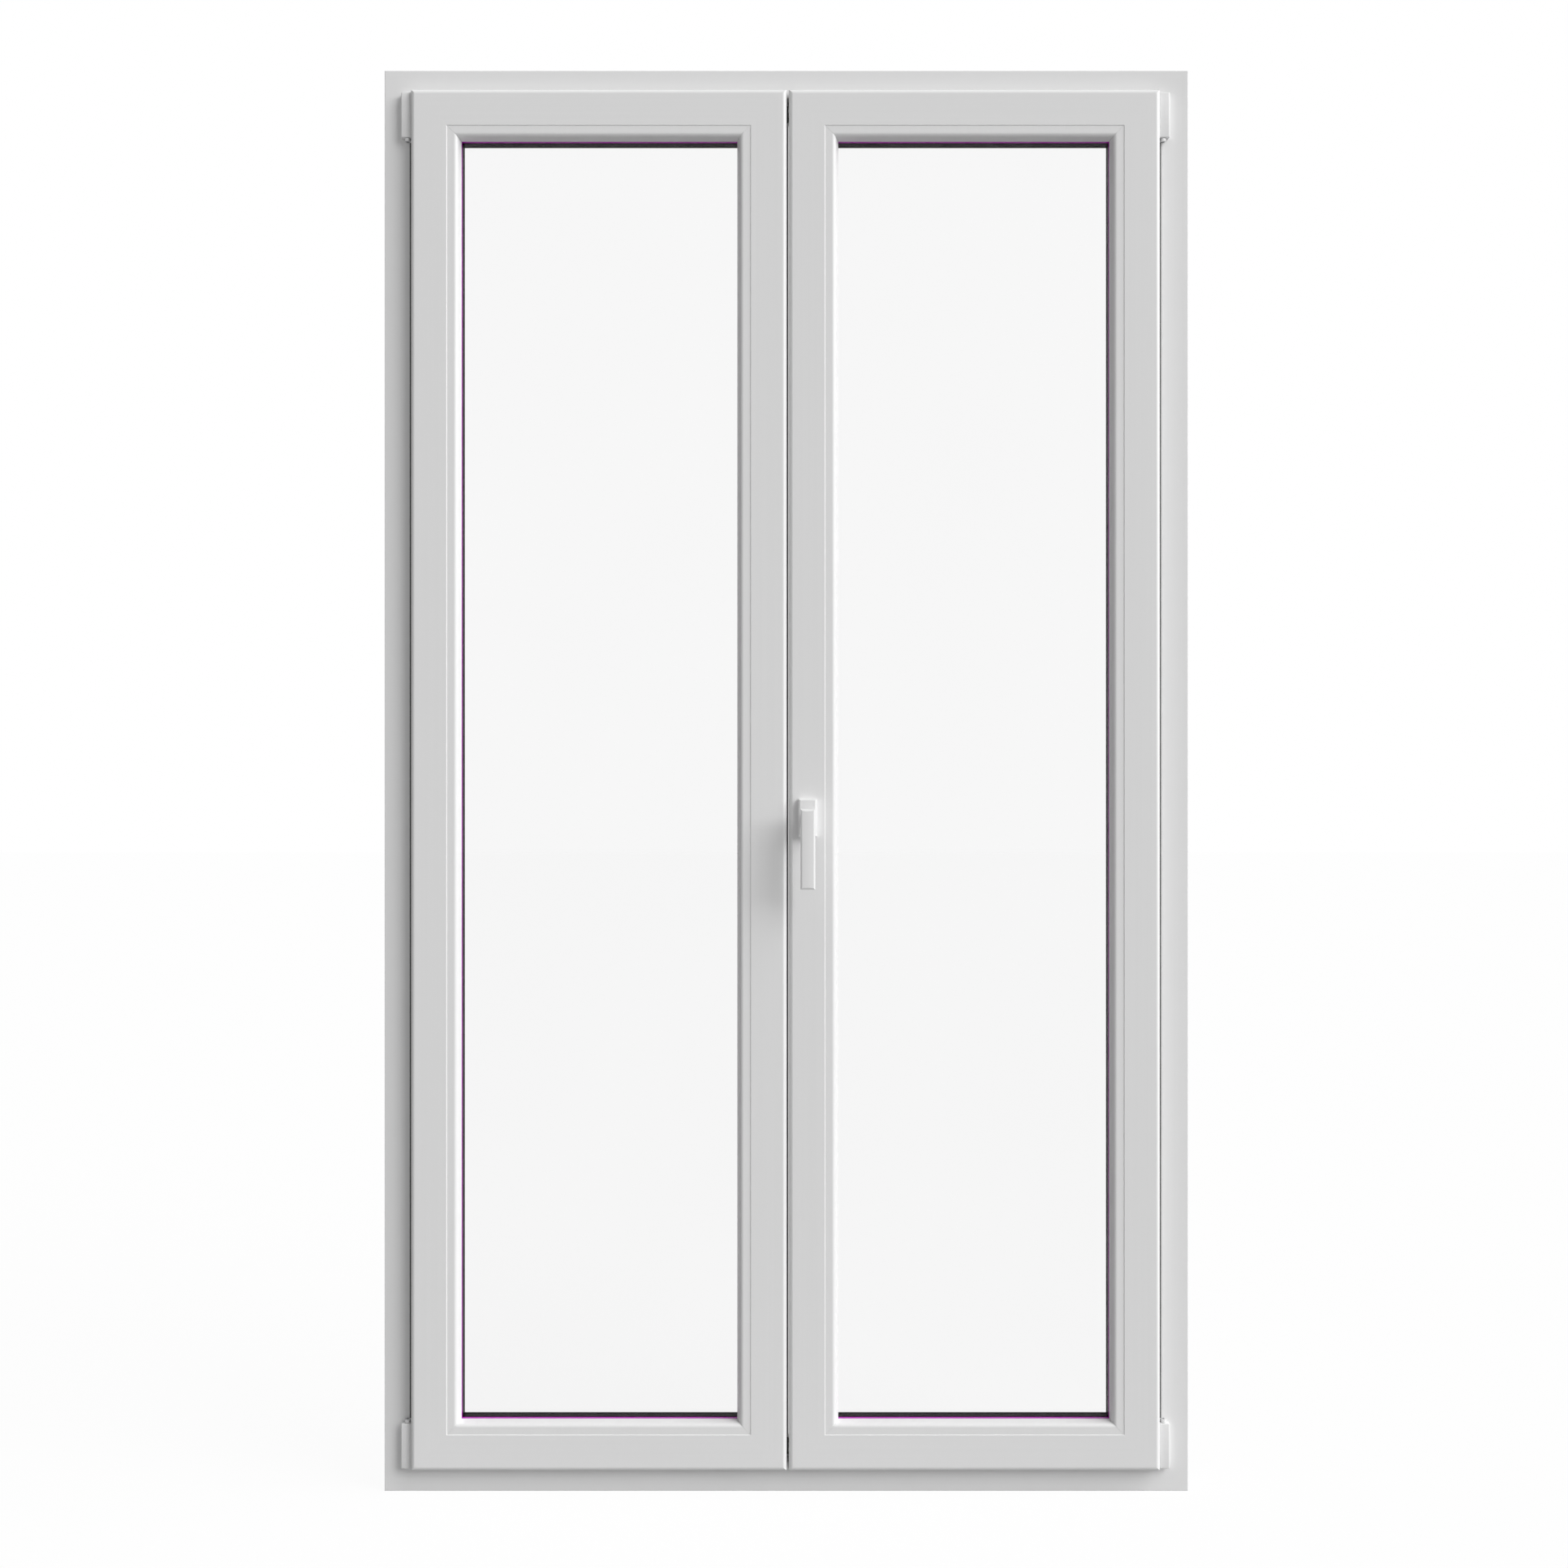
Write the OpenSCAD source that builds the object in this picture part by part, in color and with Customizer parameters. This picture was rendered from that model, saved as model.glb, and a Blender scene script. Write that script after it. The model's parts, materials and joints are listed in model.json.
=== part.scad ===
// Two-leaf hinged balcony door with its frame, closed.
// Millimetres. X runs right as seen from the room, Y runs to the outside, Z is up.
// The origin is the centre of the frame's bottom face.

/* [Frame] */
// Overall width of the frame
frame_w = 1188; // [1100:1:1600]
// Overall height of the frame
frame_h = 2100; // [1900:1:2400]
// Depth of the frame profile
frame_d = 70; // [66:1:90]
// Face of the left jamb that shows beside the leaf
reveal_left = 41.5; // [38:0.5:60]
// Face of the right jamb that shows beside the leaf
reveal_right = 44.5; // [38:0.5:60]
// Face of the head that shows above the leaves
reveal_top = 33.5; // [30:0.5:60]
// Face of the sill that shows below the leaves
reveal_bottom = 35.5; // [30:0.5:60]
// How far a leaf laps over the frame face
lap = 8; // [6:0.5:10]
// How far the outer stop stands into the opening past the rebate
stop_w = 20; // [18:0.5:26]
// Thickness of the outer stop
stop_t = 17; // [12:0.5:20]
// Wall of the profile on its outer side
frame_wall = 8; // [4:0.5:12]
// Wall of the profile on the rebate side, which takes the hardware
rebate_wall = 18; // [16:0.5:20]
// Radius of the long edges at the front of the frame
frame_edge_r = 1; // [0.5:0.5:6]
// Diameter of the fixing holes through the jambs
fixing_d = 7; // [5:0.5:10]
// Height of the lowest fixing hole
fixing_z0 = 250; // [200:10:400]
// Distance of the highest fixing hole from the frame's top
fixing_drop = 200; // [150:10:300]
// Spacing of the two holes of a fixing pair
fixing_pitch = 550; // [400:10:600]

/* [Leaves] */
// Offset of the meeting gap from the middle of the frame
meeting_shift = 2; // [-20:0.5:20]
// Gap between the two leaves
meeting_gap = 3; // [2.5:0.1:5]
// Depth of the leaf profile
sash_d = 70; // [66:1:82]
// Gap in which the gaskets seal between leaf and frame
seal_gap = 3; // [2.5:0.5:4]
// Width of the leaf's overlap outside its body
overlap_w = 20; // [18:0.5:24]
// Leaf face from its edge to the glazing bead
sash_face = 53.5; // [50:0.5:70]
// Radius of the leaf's front edge
edge_r = 6; // [2:0.5:8]
// Wall round the leaf profile's chambers
sash_wall = 6; // [3:0.5:6]
// Depth of the front chamber
front_chamber_d = 16; // [10:0.5:18]
// Depth of the chamber that holds the steel
steel_chamber_d = 18; // [12:0.5:20]
// Wall of the steel bars
steel_t = 2; // [1.5:0.1:3]
// How far the overlap gasket's lip shows past the leaf's hinge edge
gasket_lip = 1.6; // [1:0.1:2.5]
// Distance of a steel bar's end from the corner of its ring
steel_setback = 90; // [80:1:120]

/* [Glazing] */
// Width of a glazing bead from the leaf's face to its lip
bead_w = 19.5; // [18:0.5:24]
// Flat part of the bead's face
bead_flat = 10; // [6:0.5:12]
// Radius where the bead's face turns down
bead_r = 6.5; // [3:0.5:7]
// How far the bead's lip lies behind the leaf's face
bead_drop = 15; // [12:0.5:18]
// Step from the leaf's face down to the bead's face
bead_step = 0.8; // [0.4:0.1:1.5]
// Hairline between two beads at a corner
bead_joint = 0.2; // [0.1:0.1:0.5]
// Thickness of the bead gasket between bead and glass
bead_gasket_t = 8; // [4:0.5:9]
// Height of the gaskets that hold the glass
gasket_h = 8; // [5:0.5:10]
// Thickness of each pane
pane_t = 4; // [3:0.5:6]
// Space between the two panes
pane_gap = 16; // [12:0.5:18]
// Thickness of the outer gasket
outer_gasket_t = 4; // [2:0.5:5]
// Gap round the edge of the sealed unit
glass_gap = 5; // [3:0.5:6]
// How far the outer glazing leg slopes back
leg_slope = 6; // [2:0.5:10]
// Length of a glazing block
block_l = 100; // [60:5:120]

/* [Hinges] */
// Width of a hinge cap
cap_w = 13; // [12:0.5:16]
// Height of a hinge cap
cap_h = 63.5; // [50:0.5:90]
// Wall of a hinge cap
cap_t = 1.2; // [1:0.1:1.6]
// Distance from the leaf's top edge to the far end of the top cap
top_cap_drop = 4.6; // [3:0.1:12]
// Distance from the leaf's bottom edge to the far end of the bottom cap
bottom_cap_rise = 3.6; // [3:0.1:12]
// Gap between cap and leaf
cap_gap = 0.5; // [0.4:0.1:1]
// Distance of the hinge axis from the frame's face
hinge_standoff = 6; // [5.5:0.1:7]
// Distance of a cap's flat front from the hinge axis
cap_front = 5; // [4.8:0.1:6]
// Radius of the hinge pin
pin_r = 2.4; // [2:0.1:2.6]
// Height of the eye on the hinge arm
eye_h = 4.6; // [4:0.1:8]
// Thickness of the hinge arm's plates
arm_t = 2; // [1.5:0.1:2.2]
// Height of the arm's flange on the leaf body
flange_h = 60; // [40:1:90]
// Depth of the arm's flange on the leaf body
flange_d = 24; // [16:1:30]

/* [Lock and handle] */
// Height of the handle's axis
handle_z = 995.7; // [900:0.1:1100]
// Distance of the handle's axis from the leaf's edge
backset = 27.5; // [27:0.1:28.5]
// Width of the rosette
rosette_w = 27; // [25:0.5:32]
// Height of the rosette
rosette_h = 56; // [50:1:70]
// Thickness of the rosette
rosette_t = 10; // [8:0.5:14]
// Width of the lever
lever_w = 21.4; // [18:0.2:24]
// Length of the lever below its axis
lever_down = 103.4; // [90:0.2:130]
// Length of the lever above its axis
lever_up = 13.2; // [11:0.2:16]
// Thickness of the lever
lever_t = 14; // [10:0.5:18]
// Room for the hand between leaf face and lever
hand_gap = 41; // [30:0.5:50]
// Width of the bevel round the lever and the rosette
handle_bevel_w = 2.4; // [1:0.1:3]
// Depth of that bevel
handle_bevel_d = 1.2; // [0.5:0.1:2]
// Radius of the corners of the lever and the rosette
handle_corner_r = 1.2; // [0.6:0.1:4]
// Radius of the lever's crowned front
lever_crown_r = 105; // [60:5:300]
// Radius of the lever's neck
neck_r = 9; // [8:0.2:10]
// Width of the square spindle
spindle_w = 7; // [6:0.1:7.5]
// Tooth module of pinion and rack
tooth_module = 1.5; // [1.4:0.05:1.55]
// Teeth on the pinion
pinion_teeth = 15; // [14:1:16]
// Thickness of the pinion and width of the drive bar
gear_t = 8; // [6:0.5:9]
// Turn of the lever from closed to open
handle_turn = 90; // [45:1:90]
// Thickness of the drive bar
bar_t = 3; // [2:0.1:3.2]
// Distance of the drive bar's ends from the leaf's ends
bar_setback = 120; // [100:5:300]
// Radius of the locking cams
cam_r = 3.5; // [3:0.1:4]
// Distance of the outer cams from the handle
cam_reach = 700; // [500:5:800]
// Height of the middle cam above the handle
middle_cam_rise = 70; // [60:5:200]

/* [Meeting profile and bolts] */
// Distance of the astragal's ends from the leaf's ends
astragal_setback = 45; // [40:1:60]
// Width of the channel in the astragal
channel_w = 13; // [11:0.5:14]
// Radius of the flush bolts
bolt_r = 4; // [3:0.1:4.5]
// Length of the flush bolts
bolt_l = 160; // [120:5:240]
// Distance of the flush bolts from the leaf's body
bolt_inset = 12; // [11:0.5:13]
// Travel of the flush bolts
bolt_travel = 11.5; // [10:0.5:12]
// Room on each side of a flush bolt in its strike
strike_play = 1.5; // [1:0.1:2]
// Length of a bolt guide
guide_l = 20; // [12:1:30]
// Height of the strike blocks, which stand in the rebate
strike_h = 9; // [7:0.5:9]

/* [Hidden] */
$fn = 48;
// Clearance of pieces that lie in or beside each other
ease = 0.3;
// Radial clearance of a running fit
run = 0.05;
// Clearance between pieces that swing past each other
pass = 0.5;
// Room past the end of a travel
end_room = 2;
// Distance of a fitted piece from the edge that it seats against
inset = 1;
// Overshoot of cutting shapes
eps = 1;

// Depths, from the room to the outside
frame_y0 = -frame_d / 2;
frame_y1 = frame_d / 2;
stop_y = frame_y1 - stop_t;
sash_y1 = stop_y - seal_gap;
sash_y0 = sash_y1 - sash_d;
overlap_y = frame_y0 - seal_gap;
bead_y = sash_y0 + bead_drop;
glass_y0 = bead_y + bead_gasket_t;
spacer_y0 = glass_y0 + pane_t;
spacer_y1 = spacer_y0 + pane_gap;
glass_y1 = spacer_y1 + pane_t;
leg_y = glass_y1 + outer_gasket_t;

// Outlines as [left, right, bottom, top]
frame_box = [-frame_w / 2, frame_w / 2, 0, frame_h];
leaf_z0 = reveal_bottom;
leaf_z1 = frame_h - reveal_top;
left_box = [frame_box[0] + reveal_left, meeting_shift - meeting_gap / 2, leaf_z0, leaf_z1];
right_box = [meeting_shift + meeting_gap / 2, frame_box[1] - reveal_right, leaf_z0, leaf_z1];
doorway_box = [left_box[0], right_box[1], leaf_z0, leaf_z1];
rebate_box = grow(doorway_box, -lap);
stop_box = grow(rebate_box, -stop_w);
lip_u = sash_face + bead_w;
glass_u = sash_face + glass_gap;

// Chambers of the profiles
frame_chamber_y0 = frame_y0 + frame_wall;
frame_chamber_y1 = stop_y - frame_wall;
sash_chamber_u0 = overlap_w + sash_wall;
sash_chamber_u1 = sash_face - sash_wall;
front_chamber_y0 = sash_y0 + sash_wall;
steel_chamber_y1 = sash_y1 - sash_wall;
steel_chamber_y0 = steel_chamber_y1 - steel_chamber_d;

// Fixing holes
fixing_y = (frame_chamber_y0 + frame_chamber_y1) / 2;
fixing_top = frame_h - fixing_drop;
fixing_zs = [fixing_z0, fixing_z0 + fixing_pitch, fixing_top - fixing_pitch, fixing_top];

// Hinges
cap_r = cap_w / 2;
edge_x = cap_r + cap_gap;
hinge_y = frame_y0 - hinge_standoff;
bearing_gap = cap_t + ease;
eye_r = cap_front;
arm_y0 = hinge_standoff - ease - arm_t;
cap_end_z0 = leaf_z0 + bottom_cap_rise + cap_h;
cap_end_z1 = leaf_z1 - top_cap_drop - cap_h;
left_swing = left_box[1] - left_box[0] + edge_x;
right_swing = right_box[1] - right_box[0] + edge_x;

// Lock
handle_x = right_box[0] + backset;
lock_x = right_box[0] + overlap_w;
gear_y = (front_chamber_y0 + front_chamber_d + steel_chamber_y0) / 2;
pressure_angle = 25;
tooth_play = 0.4;
pitch_r = tooth_module * pinion_teeth / 2;
tooth_pitch = PI * tooth_module;
base_r = pitch_r * cos(pressure_angle);
tip_r = pitch_r + tooth_module;
dedendum = 1.25 * tooth_module;
root_r = pitch_r - dedendum;
tooth_half = tooth_pitch / 4 - tooth_play / 4;
rack_x = handle_x - pitch_r;
bar_x1 = rack_x - dedendum;
bar_x0 = bar_x1 - bar_t;
bar_travel = pitch_r * handle_turn * PI / 180;
rail_t = 2;
rail_x1 = bar_x0 - ease;
rail_y = gear_t / 2 + ease;
rail_setback = bar_setback - bar_travel - end_room;
hub_r = 6;
case_cheek = 4;
case_wall = 3;
case_half_y = gear_t / 2 + case_cheek;
case_half_z = tip_r + pass + case_wall;
case_x1 = handle_x + tip_r + pass + case_wall;
neck_step = 2;
spigot_r = neck_r - neck_step;
lever_y1 = sash_y0 - hand_gap;
lever_y0 = lever_y1 - lever_t;
cam_zs = [handle_z - cam_reach, handle_z + middle_cam_rise, handle_z + cam_reach];

// Meeting profile, kept clear of the other leaf's swing
meeting_x = left_box[1] - overlap_w;
seal_t = 3;
seal_y0 = overlap_y + ease;
astragal_y0 = seal_y0 + seal_t;
astragal_y1 = sash_y1 - inset;
astragal_z0 = leaf_z0 + astragal_setback;
astragal_z1 = leaf_z1 - astragal_setback;
seal_x = meeting_reach(astragal_y0);
cam_x = seal_x + pass + swing_out(gear_y + cam_r, right_swing);
keep_t = 3;
keep_w = 20;
keep_h = 60;
keep_x = astragal_face(gear_y + keep_w / 2);
channel_wall = 3;
bolt_y = gear_y + keep_w / 2 + ease + channel_wall + channel_w / 2;
bolt_x = meeting_x + bolt_inset;
channel_x = bolt_x - channel_w / 2;
knob_w = 6;
knob_h = 14;
knob_play = 4;
knob_x = meeting_reach(astragal_y1) - ease;
bolt_tip_z = leaf_z1 - overlap_w - inset;
bolt_foot_z = leaf_z0 + overlap_w + inset;
low_guide_z = bolt_foot_z + bolt_l - bolt_travel - guide_l;
high_guide_z = bolt_tip_z - bolt_l + bolt_travel;
guide_zs = [
    bolt_foot_z + astragal_setback, low_guide_z, high_guide_z, bolt_tip_z - astragal_setback - guide_l
];
rebate_gap = overlap_w - lap;
strike_slot = 2 * (bolt_r + strike_play);
strike_w = 24;
strike_l = 50;

function grow(b, d) = [b[0] - d, b[1] + d, b[2] - d, b[3] + d];

// How far a point at depth y runs out past its rest position as its leaf swings
function swing_out(y, swing) = pow(max(0, y - hinge_y), 2) / (2 * swing);

// Furthest place that a piece of the left leaf may reach at depth y
function meeting_reach(y) = left_box[1] + meeting_gap - pass - swing_out(y, left_swing);

// Straight face of the astragal between its two furthest corners
function astragal_face(y) =
    seal_x + (meeting_reach(astragal_y1) - seal_x) * (y - astragal_y0) / (astragal_y1 - astragal_y0);

// Outline of one mitred side between an outer and an inner box
function mitre(side, o, i) =
    side == "left" ? [[o[0], o[2]], [o[0], o[3]], [i[0], i[3]], [i[0], i[2]]]
    : side == "right" ? [[o[1], o[2]], [i[1], i[2]], [i[1], i[3]], [o[1], o[3]]]
    : side == "bottom" ? [[o[0], o[2]], [i[0], i[2]], [i[1], i[2]], [o[1], o[2]]]
    : [[o[0], o[3]], [o[1], o[3]], [i[1], i[3]], [i[0], i[3]]];

// Involute pinion
function involute(a) = tan(a) - a * PI / 180;
function flank(r) =
    (tooth_half / pitch_r + involute(pressure_angle) - involute(acos(min(1, base_r / r)))) * 180 / PI;
function polar(r, a) = [r * cos(a), r * sin(a)];
flank_radii = [for (k = [0:5]) root_r + (tip_r - root_r) * k / 5];
pinion_points = [
    for (i = [0:pinion_teeth - 1])
        let (a = 180 + i * 360 / pinion_teeth)
            each concat(
                [for (r = flank_radii) polar(r, a - flank(r))],
                [for (k = [5:-1:0]) polar(flank_radii[k], a + flank(flank_radii[k]))]
            )
];

SIDES = ["left", "right", "bottom", "top"];

// Colours
white_pvc = [0.93, 0.93, 0.92];
black_rubber = [0.08, 0.08, 0.08];
grey_seal = [0.7, 0.7, 0.7];
purple_gasket = [0.5, 0.15, 0.5];
zinc = [0.75, 0.77, 0.78];
glass_tint = [0.85, 0.93, 0.92, 0.35];

// Shared shapes

// Outline in the XZ plane, extruded from y0 to y1
module prism_y(points, y0, y1) {
    translate([0, y1, 0]) rotate([90, 0, 0]) linear_extrude(y1 - y0) polygon(points);
}

module box_y(b, y0, y1) {
    translate([b[0], y0, b[2]]) cube([b[1] - b[0], y1 - y0, b[3] - b[2]]);
}

module ring_y(outer, inner, y0, y1) {
    difference() {
        box_y(outer, y0, y1);
        box_y(inner, y0 - eps, y1 + eps);
    }
}

module tube_y(r, x, z, y0, y1) {
    translate([x, y1, z]) rotate([90, 0, 0]) cylinder(h = y1 - y0, r = r);
}

// Runs a section along one side of a box; the section's x is the distance in from the side
module along(side, b, cut = 0) {
    if (side == "left")
        translate([b[0], 0, b[2] + cut])
            linear_extrude(b[3] - b[2] - 2 * cut) children();
    else if (side == "right")
        translate([b[1], 0, b[3] - cut]) rotate([0, 180, 0])
            linear_extrude(b[3] - b[2] - 2 * cut) children();
    else if (side == "bottom")
        translate([b[1] - cut, 0, b[2]]) rotate([0, -90, 0])
            linear_extrude(b[1] - b[0] - 2 * cut) children();
    else
        translate([b[0] + cut, 0, b[3]]) rotate([0, 90, 0])
            linear_extrude(b[1] - b[0] - 2 * cut) children();
}

// What is cut from a square corner at the origin to round it
module corner_cut(r, flip_u = 0, flip_y = 0) {
    mirror([flip_u, 0]) mirror([0, flip_y]) difference() {
        translate([-eps, -eps]) square(r + eps);
        translate([r, r]) circle(r);
    }
}

// Hollow steel bar section inside a chamber
module steel_section(u0, u1, y0, y1) {
    difference() {
        translate([u0 + ease, y0 + ease]) square([u1 - u0 - 2 * ease, y1 - y0 - 2 * ease]);
        translate([u0 + ease + steel_t, y0 + ease + steel_t])
            square([u1 - u0 - 2 * (ease + steel_t), y1 - y0 - 2 * (ease + steel_t)]);
    }
}

// Frame

function frame_reveal(side) =
    side == "left" ? reveal_left
    : side == "right" ? reveal_right
    : side == "bottom" ? reveal_bottom
    : reveal_top;

module frame_section(rebate_u) {
    difference() {
        union() {
            translate([0, frame_y0]) square([rebate_u, frame_d]);
            translate([rebate_u - eps, stop_y]) square([stop_w + eps, stop_t]);
        }
        translate([0, frame_y0]) corner_cut(frame_edge_r);
        translate([rebate_u, frame_y0]) corner_cut(frame_edge_r, flip_u = 1);
        translate([rebate_u + stop_w, frame_y1]) corner_cut(frame_edge_r, flip_u = 1, flip_y = 1);
        translate([frame_wall, frame_chamber_y0])
            square([rebate_u - rebate_wall - frame_wall, frame_chamber_y1 - frame_chamber_y0]);
    }
}

module frame_member(side) {
    color(white_pvc) intersection() {
        along(side, frame_box) frame_section(frame_reveal(side) + lap);
        union() {
            prism_y(mitre(side, frame_box, rebate_box), frame_y0, stop_y);
            prism_y(mitre(side, frame_box, stop_box), stop_y, frame_y1);
        }
    }
}

module fixing_holes() {
    for (z = fixing_zs)
        translate([frame_box[0] - eps, fixing_y, z]) rotate([0, 90, 0])
            cylinder(h = frame_w + 2 * eps, d = fixing_d);
}

module frame_jamb_left() {
    color(white_pvc) difference() {
        frame_member("left");
        fixing_holes();
    }
}

module frame_jamb_right() {
    color(white_pvc) difference() {
        frame_member("right");
        fixing_holes();
    }
}

module frame_head() {
    frame_member("top");
}

module frame_sill() {
    frame_member("bottom");
}

module frame_steels() {
    color(zinc) difference() {
        for (side = SIDES)
            along(side, frame_box, steel_setback)
                steel_section(
                    frame_wall, frame_reveal(side) + lap - rebate_wall, frame_chamber_y0, frame_chamber_y1
                );
        fixing_holes();
    }
}

module stop_gasket() {
    color(black_rubber) ring_y(
        grow(stop_box, stop_w - rebate_gap - inset), grow(stop_box, inset), stop_y - seal_gap + ease, stop_y
    );
}

// Block screwed into the rebate, with a square hole that takes a flush bolt
module strike(z) {
    color(zinc) translate([bolt_x, bolt_y, z]) difference() {
        translate([-strike_l / 2, -strike_w / 2, 0]) cube([strike_l, strike_w, strike_h]);
        translate([-strike_slot / 2, -strike_slot / 2, -eps])
            cube([strike_slot, strike_slot, strike_h + 2 * eps]);
    }
}

module head_strike() {
    strike(rebate_box[3] - strike_h);
}

module sill_strike() {
    strike(rebate_box[2]);
}

// Hinges, drawn for the upper left one: pin axis at the origin, cap upwards from z = 0

module hinge_at(side, level) {
    x = side == "left" ? left_box[0] - edge_x : right_box[1] + edge_x;
    z = level == "top" ? cap_end_z1 : cap_end_z0;
    translate([x, hinge_y, z])
        mirror([side == "left" ? 0 : 1, 0, 0]) mirror([0, 0, level == "top" ? 0 : 1]) children();
}

module each_hinge() {
    for (side = ["left", "right"])
        for (level = ["top", "bottom"])
            hinge_at(side, level) children();
}

// Round towards the leaf, flat in front and straight back to the frame, all drawn in by a gap
module hinge_section(gap, base) {
    r = cap_r - gap;
    intersection() {
        union() {
            circle(r);
            translate([-r, 0]) square([2 * r, base]);
        }
        translate([-r, gap - cap_front]) square([2 * r, cap_front - gap + base]);
    }
}

module hinge_cap(side, level) {
    color(white_pvc) hinge_at(side, level) difference() {
        linear_extrude(cap_h) hinge_section(0, hinge_standoff);
        translate([0, 0, cap_t])
            linear_extrude(cap_h - 2 * cap_t) hinge_section(cap_t, hinge_standoff + eps);
        translate([0, 0, -eps]) cylinder(h = cap_t + 2 * eps, r = pin_r + ease);
    }
}

module hinge_cap_top_left() {
    hinge_cap("left", "top");
}

module hinge_cap_bottom_left() {
    hinge_cap("left", "bottom");
}

module hinge_cap_top_right() {
    hinge_cap("right", "top");
}

module hinge_cap_bottom_right() {
    hinge_cap("right", "bottom");
}

module hinge_bearings() {
    color(zinc) each_hinge() difference() {
        translate([0, 0, bearing_gap])
            linear_extrude(cap_h - 2 * bearing_gap) hinge_section(bearing_gap, hinge_standoff);
        translate([0, 0, -eps]) cylinder(h = cap_h + 2 * eps, r = pin_r + run);
    }
}

module hinge_pins() {
    color(zinc) each_hinge() translate([0, 0, -pass - eye_h])
        cylinder(h = pass + eye_h + cap_h - bearing_gap, r = pin_r);
}

// Eye, strap through the seal gap and flange on the leaf's body
module hinge_arm() {
    body_x = edge_x + overlap_w;
    difference() {
        union() {
            cylinder(h = eye_h, r = eye_r);
            translate([0, arm_y0, 0]) cube([body_x, arm_t, eye_h]);
            translate([body_x - arm_t, arm_y0, (eye_h - flange_h) / 2]) cube([arm_t, flange_d, flange_h]);
        }
        translate([0, 0, -eps]) cylinder(h = eye_h + 2 * eps, r = pin_r + run);
    }
}

module leaf_hinge_arms(side) {
    color(zinc)
        for (level = ["top", "bottom"])
            hinge_at(side, level) translate([0, 0, -pass - eye_h]) hinge_arm();
}

// Leaves

function leaf_box(leaf) = leaf == "left" ? left_box : right_box;

module sash_section() {
    step_cut = bead_step + eps;
    difference() {
        union() {
            translate([0, sash_y0]) square([sash_face, overlap_y - sash_y0]);
            translate([overlap_w, sash_y0]) square([sash_face - overlap_w, sash_d]);
            polygon([
                [sash_face - eps, leg_y], [lip_u, leg_y],
                [lip_u - leg_slope, sash_y1], [sash_face - eps, sash_y1]
            ]);
        }
        translate([0, sash_y0]) corner_cut(edge_r);
        translate([sash_face, sash_y0 + bead_step])
            polygon([[eps, eps], [eps, -step_cut], [-step_cut, -step_cut]]);
        translate([sash_chamber_u0, front_chamber_y0])
            square([sash_chamber_u1 - sash_chamber_u0, front_chamber_d]);
        translate([sash_chamber_u0, steel_chamber_y0])
            square([sash_chamber_u1 - sash_chamber_u0, steel_chamber_d]);
    }
}

// Face flat, turning down through an arc to the steep slope that ends at the lip
module bead_section() {
    arc_end = 70;
    arc_step = 10;
    face_y = sash_y0 + bead_step;
    flat_u = sash_face + bead_flat;
    polygon(concat(
        [[sash_face, bead_y], [sash_face, face_y]],
        [for (a = [0:arc_step:arc_end]) [flat_u + bead_r * sin(a), face_y + bead_r * (1 - cos(a))]],
        [[lip_u, bead_y]]
    ));
}

// One mitred side of a leaf's ring with the section given as a child; the rails may end short by a joint
module leaf_side(leaf, side, joint = 0) {
    b = leaf_box(leaf);
    off = side == "top" || side == "bottom" ? joint : 0;
    o = [b[0] + off, b[1] - off, b[2], b[3]];
    intersection() {
        along(side, b) children();
        prism_y(mitre(side, o, grow(o, -lip_u - eps)), sash_y0 - eps, sash_y1 + eps);
    }
}

module sash_member(leaf, side) {
    color(white_pvc) leaf_side(leaf, side) sash_section();
}

module beads(leaf) {
    color(white_pvc)
        for (side = SIDES)
            leaf_side(leaf, side, bead_joint) bead_section();
}

module leaf_steels(leaf) {
    color(zinc)
        for (side = SIDES)
            along(side, leaf_box(leaf), steel_setback)
                steel_section(sash_chamber_u0, sash_chamber_u1, steel_chamber_y0, steel_chamber_y1);
}

module pane(leaf, y) {
    color(glass_tint) box_y(grow(leaf_box(leaf), -glass_u), y, y + pane_t);
}

module lip_ring(leaf, height, y0, y1) {
    b = leaf_box(leaf);
    ring_y(grow(b, height - lip_u), grow(b, -lip_u), y0, y1);
}

module spacer(leaf) {
    color(black_rubber) lip_ring(leaf, lip_u - glass_u, spacer_y0, spacer_y1);
}

module bead_gasket(leaf) {
    color(purple_gasket) lip_ring(leaf, gasket_h, bead_y, glass_y0);
}

module outer_gasket(leaf) {
    color(black_rubber) lip_ring(leaf, gasket_h, glass_y1, leg_y);
}

// Seals three sides of the leaf on the frame's face, notched at the hinge arms, with a lip between them
module overlap_gasket(leaf) {
    gasket_u = 1.5;
    gasket_w = lap - 2 * gasket_u;
    notch_h = eye_h + 2 * pass;
    b = leaf_box(leaf);
    open_x = leaf == "left" ? b[1] - overlap_w : b[0] - eps;
    lip_x = leaf == "left" ? b[0] - gasket_lip : b[1] - gasket_u - eps;
    lip_box = [lip_x, lip_x + gasket_lip + gasket_u + eps, cap_end_z0 + notch_h, cap_end_z1 - notch_h];
    color(black_rubber) difference() {
        union() {
            ring_y(grow(b, -gasket_u), grow(b, -gasket_u - gasket_w), overlap_y, frame_y0 - ease);
            box_y(lip_box, overlap_y, frame_y0 - ease);
        }
        translate([open_x, overlap_y - eps, b[2] - eps])
            cube([overlap_w + eps, seal_gap + 2 * eps, b[3] - b[2] + 2 * eps]);
        for (level = ["top", "bottom"])
            hinge_at(leaf, level) translate([0, hinge_standoff - seal_gap - eps, -notch_h])
                cube([edge_x + overlap_w, seal_gap + 2 * eps, notch_h]);
    }
}

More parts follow.
